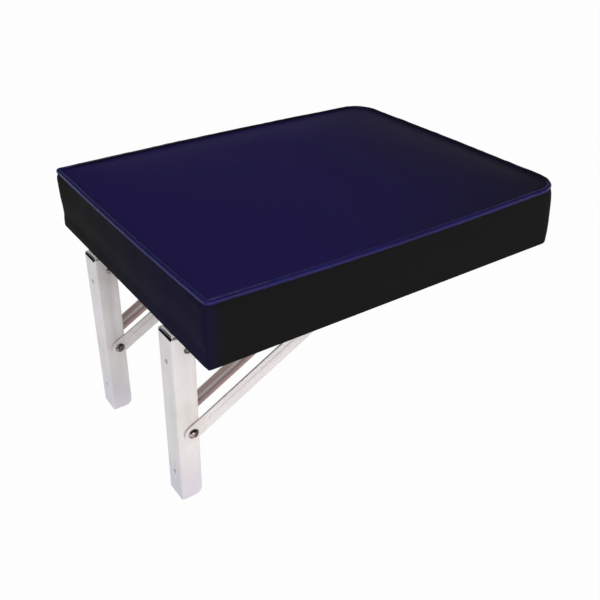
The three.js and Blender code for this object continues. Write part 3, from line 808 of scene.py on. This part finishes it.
def oneStaple():
    # a crown bent over from a bar: its end faces extruded up as legs
    wire = staple["wire"]
    bpy.ops.mesh.primitive_cube_add(size=1, location=(0, 0, -wire / 2 - staple["sunk"]))
    bpy.context.object.scale = (staple["crown"], wire * 1.6, wire)
    one = fresh("staple")
    pick(one, "EDGE", lambda edge: abs(edge.verts[0].co.x - edge.verts[1].co.x) > staple["crown"] / 2)
    bpy.ops.mesh.subdivide(number_cuts=2)
    pick(one, "VERT", lambda vertex: abs(vertex.co.x) < staple["crown"] / 4)
    bpy.ops.transform.resize(value=((staple["crown"] / 2 - wire) / (staple["crown"] / 6), 1, 1))
    pick(one, "FACE", lambda face: face.normal.z > 0.9 and abs(middleOf(face).x) > staple["crown"] / 3)
    bpy.ops.mesh.extrude_region_move(TRANSFORM_OT_translate={"value": (0, 0, staple["leg"])})
    pick(one, "EDGE", lambda edge: True)
    bpy.ops.mesh.bevel(offset=staple["edge"], segments=1, affect="EDGES", clamp_overlap=True)
    bpy.ops.object.mode_set(mode="OBJECT")
    return one


def stapleRow():
    # modelled once, then copied round the rim, turned along each side
    first = oneStaple()
    places = []
    half = cushion["width"] / 2 - staple["inset"]
    rear = cushion["rear"] - staple["inset"]
    front = cushion["rear"] - cushion["depth"] + staple["inset"]
    across = int(2 * half / staple["pitch"])
    along = int((rear - front) / staple["pitch"])
    for index in range(across + 1):
        x = -half + staple["fromEnd"] + index * (2 * half - 2 * staple["fromEnd"]) / across
        if abs(abs(x) - bracketPlace) > staple["armGap"]:
            places.append((x, rear, staple["tilt"] * noise.noise(Vector((index, 1.5, 0)))))
        places.append((x, front, staple["tilt"] * noise.noise(Vector((index, 7.5, 0)))))
    for index in range(1, along):
        y = front + index * (rear - front) / along
        for x in (-half, half):
            tilt = staple["tilt"] * noise.noise(Vector((index, x * 40, 3)))
            places.append((x, y, math.pi / 2 + tilt))
    copies = []
    for x, y, turn in places:
        twin = copyOf(first, "staple")
        twin.rotation_euler.z = turn
        twin.location = (x, y, 0)
        copies.append(twin)
    removed(first)
    row = joined(copies, "dust_cover_staples")
    bpy.ops.object.transform_apply(location=True, rotation=True, scale=True)
    return done(row)


staples = dress(stapleRow(), "zinc")
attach(staples, "seat")
print("dust cloth and staples made")

bracket = {
    "places": {"left": -bracketPlace, "right": bracketPlace}, "steel": 0.002, "edge": 0.0003,
    "pivotY": -0.0175, "hingeZ": -0.021, "braceZ": -0.132087, "pinY": -0.23811, "pinZ": -0.00980,
    "pinBore": 0.0033, "pin": 0.003,
}


def standsFor(piece, node, body):
    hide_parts(node)
    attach(piece, body)


def placedCopy(first, name, place, turns=()):
    # a copy turned about the world's axes in the given order, then moved to its place
    twin = copyOf(first, name)
    for axis, angle in turns:
        setattr(twin.rotation_euler, axis, angle)
        hold(twin)
        bpy.ops.object.transform_apply(location=False, rotation=True, scale=False)
    twin.location = place
    hold(twin)
    bpy.ops.object.transform_apply(location=True, rotation=False, scale=False)
    return twin


def cutBy(piece, cutter, operation="DIFFERENCE"):
    finishedBy(piece, "BOOLEAN", operation=operation, solver="EXACT", object=cutter)
    removed(cutter)
    return piece


def bored(piece, radius, place, along, length=0.08):
    turns = {"x": (0, math.pi / 2, 0), "y": (math.pi / 2, 0, 0)}
    bpy.ops.mesh.primitive_cylinder_add(
        vertices=40, radius=radius, depth=length, location=place, rotation=turns[along])
    return cutBy(piece, fresh("drill"))


def eased(piece):
    # all sharp edges broken a little, as paint rounds them
    finishedBy(piece, "BEVEL", width=bracket["edge"], segments=2, limit_method="ANGLE",
               angle_limit=math.radians(35))
    return smooth(done(piece), 35)


channel = {
    "width": 0.031, "depth": 0.026, "top": -0.004, "webTop": -0.006, "bottom": -0.230087, "bend": 0.0026,
    "corner": 0.009, "wallHoles": (-0.038, -0.195087), "wallHole": 0.00285,
}


def wallChannel():
    # three sides of a box bent from one strip of steel, open away from the wall
    half, depth = channel["width"] / 2, channel["depth"]
    low, high = channel["bottom"], channel["top"]
    bpy.ops.mesh.primitive_cube_add(size=1, location=(0, -depth / 2, (low + high) / 2))
    bpy.context.object.scale = (2 * half, depth, high - low)
    steel = fresh("wall_channel")
    pick(steel, "FACE", lambda face: abs(face.normal.z) > 0.9 or face.normal.y < -0.9)
    bpy.ops.mesh.delete(type="FACE")
    pick(steel, "EDGE", lambda edge: middleOf(edge).y > -tolerance
         and abs(middleOf(edge).x) > half - tolerance)
    bpy.ops.mesh.bevel(offset=channel["bend"], segments=6, affect="EDGES")
    pick(steel, "VERT", lambda vertex: vertex.co.y < -depth + tolerance)
    bpy.ops.mesh.bevel(offset=channel["corner"], segments=10, affect="VERTICES")
    pick(steel, "FACE", lambda face: face.normal.y > 0.9)
    bpy.ops.mesh.bisect(plane_co=(0, 0, channel["webTop"]), plane_no=(0, 0, 1))
    pick(steel, "FACE", lambda face: face.normal.y > 0.9 and middleOf(face).z > channel["webTop"])
    bpy.ops.mesh.delete(type="FACE")
    bpy.ops.object.mode_set(mode="OBJECT")
    finishedBy(steel, "SOLIDIFY", thickness=bracket["steel"], offset=-1.0, use_even_offset=True)
    for height in channel["wallHoles"]:
        bored(steel, channel["wallHole"], (0, 0, height), "y", 0.02)
    for height in (bracket["hingeZ"], bracket["braceZ"]):
        bored(steel, bracket["pinBore"], (0, bracket["pivotY"], height), "x")
    return eased(steel)


bar = {
    "length": 0.252236, "half": 0.01, "thickness": 0.0025, "inner": 0.0158, "eye": 0.007, "taper": 0.05,
    "rib": 0.0045, "groove": 0.0035, "ribHeight": 0.0015, "ribStart": 0.026, "ribEnd": 0.05, "lean": 29.0,
}


def roundEnded(name, x, near, far, nearRadius, farRadius):
    # a flat strip in the plane at x, drawn out from a disc
    bpy.ops.mesh.primitive_circle_add(
        vertices=48, radius=nearRadius, fill_type="NGON", location=(x, near, 0),
        rotation=(0, math.pi / 2, 0))
    strip = fresh(name)
    pick(strip, "VERT", lambda vertex: vertex.co.y < near - tolerance)
    bpy.ops.transform.translate(value=(0, far - near, 0))
    shrink = farRadius / nearRadius
    bpy.ops.transform.resize(value=(1, shrink, shrink), center_override=(x, far, 0))
    bpy.ops.object.mode_set(mode="OBJECT")
    return strip


def ribTool(name, x, radius):
    # a low ridge with sloping sides, from under the surface at x
    far = bar["ribEnd"] - bar["length"]
    tool = roundEnded(name, x - bar["ribHeight"], -bar["ribStart"], far, radius, radius)
    pickAll(tool)
    bpy.ops.mesh.extrude_region_move(TRANSFORM_OT_translate={"value": (bar["ribHeight"], 0, 0)})
    bpy.ops.mesh.inset(thickness=bar["ribHeight"])
    bpy.ops.transform.translate(value=(bar["ribHeight"], 0, 0))
    bpy.ops.object.mode_set(mode="OBJECT")
    return done(tool)


def braceBar():
    # a flat bar along -Y from its lower pivot, with a rib pressed out along its middle
    inner, length = bar["inner"], bar["length"]
    strip = roundEnded("brace_bar", inner, 0, -length, bar["half"], bar["eye"])
    taperAt = bar["taper"] - length
    pickAll(strip)
    bpy.ops.mesh.bisect(plane_co=(0, taperAt, 0), plane_no=(0, 1, 0))
    pick(strip, "VERT", lambda vertex: abs(vertex.co.y - taperAt) < tolerance)
    edited = bmesh.from_edit_mesh(strip.data)
    reach = max(vertex.co.z for vertex in edited.verts if vertex.select)
    widen = bar["half"] / reach
    bpy.ops.transform.resize(value=(1, 1, widen), center_override=(inner, taperAt, 0))
    bpy.ops.object.mode_set(mode="OBJECT")
    finishedBy(strip, "SOLIDIFY", thickness=bar["thickness"], offset=1.0)
    done(strip)
    cutBy(strip, ribTool("ridge", inner + bar["thickness"], bar["rib"]), "UNION")
    cutBy(strip, ribTool("groove", inner, bar["groove"]))
    for y in (0, -length):
        bored(strip, bracket["pinBore"], (0, y, 0), "x")
    return eased(strip)


head = {
    "riser": 0.0186, "radius": 0.00625, "height": 0.0034, "hingeSeat": 0.0158, "hingeRadius": 0.0044,
    "hingeHeight": 0.0024, "innerFace": 0.0132, "innerThickness": 0.0012, "innerEdge": 0.0007,
    "innerRadius": 0.005, "crossHeight": 0.002,
}


def turned(name, pairs):
    # a turned piece along X: a disc drawn out ring by ring through pairs of place and radius
    place, radius = pairs[0]
    bpy.ops.mesh.primitive_circle_add(
        vertices=48, radius=radius, fill_type="NGON", location=(place, 0, 0), rotation=(0, math.pi / 2, 0))
    piece = fresh(name)
    pickAll(piece)
    for nextPlace, nextRadius in pairs[1:]:
        bpy.ops.mesh.extrude_region_move(TRANSFORM_OT_translate={"value": (nextPlace - place, 0, 0)})
        scale = nextRadius / radius
        bpy.ops.transform.resize(value=(1, scale, scale), center_override=(nextPlace, 0, 0))
        place, radius = nextPlace, nextRadius
    bpy.ops.object.mode_set(mode="OBJECT")
    return smooth(done(piece), 42)


def dome(seat, radius, height):
    # a thin rim, a shallow groove and a domed top
    pairs = [
        (seat, 0.95), (seat + 0.08 * height, 1), (seat + 0.2 * height, 0.97), (seat + 0.23 * height, 0.89)]
    for step in range(1, 9):
        angle = math.radians(6 + step * 10)
        pairs.append((seat + height * (0.23 + 0.77 * math.sin(angle)), 0.89 * math.cos(angle)))
    return [(place, share * radius) for place, share in pairs]


def flatHead(seat, radius, height):
    # a shallow riveted head with a dimple in its middle
    pairs = [(0, 0.96), (0.15, 1), (0.55, 1), (0.85, 0.92), (1, 0.78), (1, 0.36), (0.8, 0.24), (0.78, 0.05)]
    return [(seat + share * height, spread * radius) for share, spread in pairs]


def bothEnds(pairs):
    return [(-place, radius) for place, radius in reversed(pairs)] + pairs


edgeStrip = {
    "width": 0.0254, "depth": 0.0021, "height": 0.0011, "overlap": 0.0001, "inset": 0.0005, "crown": 0.0003,
    "edge": 0.00025,
}


def blackEdgeStrip():
    # a black strip along the top edge of a channel's web
    bpy.ops.mesh.primitive_cube_add(
        size=1, location=(0, -edgeStrip["depth"] / 2 + edgeStrip["overlap"], edgeStrip["height"] / 2))
    bpy.context.object.scale = (edgeStrip["width"], edgeStrip["depth"], edgeStrip["height"])
    strip = fresh("edge_strip")
    pick(strip, "FACE", lambda face: face.normal.z > 0.9)
    bpy.ops.mesh.inset(thickness=edgeStrip["inset"])
    bpy.ops.transform.translate(value=(0, 0, edgeStrip["crown"]))
    pick(strip, "EDGE", lambda edge: middleOf(edge).z > tolerance)
    bpy.ops.mesh.bevel(offset=edgeStrip["edge"], segments=2, affect="EDGES")
    bpy.ops.object.mode_set(mode="OBJECT")
    return smooth(done(strip))


firstChannel = dress(wallChannel(), "paint")
firstStrip = dress(blackEdgeStrip(), "vinylBand")
firstBar = dress(braceBar(), "paint")
pin = bracket["pin"]
inside = head["innerFace"]
firstRivet = dress(turned("brace_rivet", [
    (inside - head["innerThickness"], 0.8 * head["innerRadius"]),
    (inside - head["innerEdge"], head["innerRadius"]), (inside, head["innerRadius"]), (inside, pin),
    (head["riser"], pin),
    *dome(head["riser"], head["radius"], head["height"])]), "darkSteel")
firstHinge = dress(turned("hinge_pin", bothEnds([
    (head["hingeSeat"], pin), *dome(head["hingeSeat"], head["hingeRadius"], head["hingeHeight"]),
])), "darkSteel")
firstCross = dress(turned("cross_pin", bothEnds([
    (head["riser"], pin), *flatHead(head["riser"], head["innerRadius"], head["crossHeight"])])), "darkSteel")

for side, x in bracket["places"].items():
    brace = side + "_brace"
    pivot = (x, bracket["pivotY"], bracket["braceZ"])
    standsFor(placedCopy(firstChannel, side + "_channel", (x, 0, 0)), side + "_wall_channel",
              "wall_brackets")
    standsFor(placedCopy(firstHinge, side + "_hinge_rod", (x, bracket["pivotY"], bracket["hingeZ"])),
              side + "_hinge_pin", "wall_brackets")
    standsFor(placedCopy(firstCross, side + "_cross_rod", (x, bracket["pinY"], bracket["pinZ"])),
              side + "_cross_pin", brace)
    strip = placedCopy(firstStrip, side + "_edge_strip", (x, 0, channel["webTop"]))
    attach(strip, "wall_brackets")
    for hand, turn in (("left", math.pi), ("right", 0.0)):
        ownName = side + "_bracket_" + hand
        rivet = placedCopy(firstRivet, ownName + "_rivet", pivot, [("z", turn)])
        standsFor(rivet, ownName + "_brace_rivet", "wall_brackets")
        strut = placedCopy(
            firstBar, ownName + "_strut", pivot, [("y", turn), ("x", -math.radians(bar["lean"]))])
        standsFor(strut, ownName + "_brace_bar", brace)
for first in (firstChannel, firstBar, firstRivet, firstHinge, firstCross, firstStrip):
    removed(first)
print("brackets made")

studio = {
    "azimuth": 237.2924, "elevation": 34.7730, "place": (-0.63435, 0.25015, 0.40355),
    "lens": 43.0823, "shift": (0.09167, 0.05833),
    "floor": -0.56, "floorSize": 14, "floorGlow": 0.96, "floorLight": (236, 236, 236),
    "floorDark": (229, 229, 230),
    "ambient": 0.68, "sky": 0.05, "skyFrom": (-0.1, 0.2),
}
lamps = {  # place, what it points at, size, power and colour
    "key": ((-1.3, 0.9, 1.7), (0, -0.2, 0), 1.2, 5, (1, 1, 1)),
    "fill": ((-2.2, -0.1, -0.15), (0, -0.1, -0.1), 0.6, 17, (1.0, 0.93, 0.88)),
    "back": ((0.3, 1.6, 0.3), (0, -0.1, -0.1), 0.9, 5, (0.86, 0.92, 1.0)),
    "rim": ((0.7, -1.0, 2.4), (0, -0.2, 0.05), 0.5, 5, (1, 1, 1)),
}


def makeCamera():
    azimuth, elevation = math.radians(studio["azimuth"]), math.radians(studio["elevation"])
    back = Vector((
        math.sin(azimuth) * math.cos(elevation), -math.cos(azimuth) * math.cos(elevation),
        math.sin(elevation)))
    bpy.ops.object.camera_add(location=studio["place"])
    camera = bpy.context.object
    camera.name = "camera"
    camera.rotation_euler = (-back).to_track_quat("-Z", "Y").to_euler()
    camera.data.sensor_width = 36
    camera.data.lens = studio["lens"]
    camera.data.shift_x, camera.data.shift_y = studio["shift"]
    camera.data.clip_start = 0.01
    bpy.context.scene.camera = camera


def seenDirectly(field):
    # 1 for rays that show the background: straight, mirrored or through glass
    path = field.tree.nodes.new("ShaderNodeLightPath")
    rays = [Field(field.tree, path.outputs[name]) for name in (
        "Is Camera Ray", "Is Glossy Ray", "Is Transmission Ray")]
    return (rays[0] + rays[1] + rays[2]).clamped(), rays


def makeWorld():
    world = bpy.data.worlds.new("studio")
    world.use_nodes = True
    bpy.context.scene.world = world
    background = world.node_tree.nodes["Background"]
    field = Field(world.node_tree)
    seen, rays = seenDirectly(field)
    direction = field.node("ShaderNodeTexCoord", output="Generated")
    height = field.node("ShaderNodeSeparateXYZ", None, {0: direction}, "Z")
    # a white backdrop up to eye level with a dark ceiling above, as mirrors see it
    ceiling = height.step(*studio["skyFrom"]) * (1 - rays[0]) * (1 - rays[2])
    mirrored = 1 - ceiling * (1 - studio["sky"])
    strength = seen * mirrored + (1 - seen) * studio["ambient"]
    world.node_tree.links.new(strength.socket, background.inputs["Strength"])
    background.inputs["Color"].default_value = (1, 1, 1, 1)


def makeFloor():
    bpy.ops.mesh.primitive_plane_add(size=studio["floorSize"], location=(0, -0.3, studio["floor"]))
    floor = fresh("floor")
    finish = Finish("pale_floor")
    broad = finish.clouds(0.8, 2.0)
    finish.set(
        Base_Color=finish.blend(broad, colourOf(*studio["floorLight"]), colourOf(*studio["floorDark"])),
        Roughness=0.9, Specular_IOR_Level=0.1)
    seen, _ = seenDirectly(finish.field)
    glow = finish.field.node("ShaderNodeEmission", None, {"Color": (1, 1, 1, 1), "Strength": 1.0})
    shader = Field(finish.tree, finish.shader.outputs[0])
    share = seen * studio["floorGlow"]
    mixed = finish.field.node("ShaderNodeMixShader", None, {0: share, 1: shader, 2: glow})
    finish.tree.links.new(mixed.socket, finish.tree.nodes["Material Output"].inputs["Surface"])
    floor.data.materials.append(finish.material)


def makeLamp(name, place, target, size, power, colour):
    bpy.ops.object.light_add(type="AREA", location=place)
    light = bpy.context.object
    light.name = name
    light.data.size = size
    light.data.energy = power
    light.data.color = colour
    light.rotation_euler = (Vector(target) - Vector(place)).to_track_quat("-Z", "Y").to_euler()


makeCamera()
makeWorld()
makeFloor()
for lampName, lampSettings in lamps.items():
    makeLamp(lampName, *lampSettings)
bpy.context.scene.view_settings.view_transform = "Standard"
print("camera, lamps and floor made")
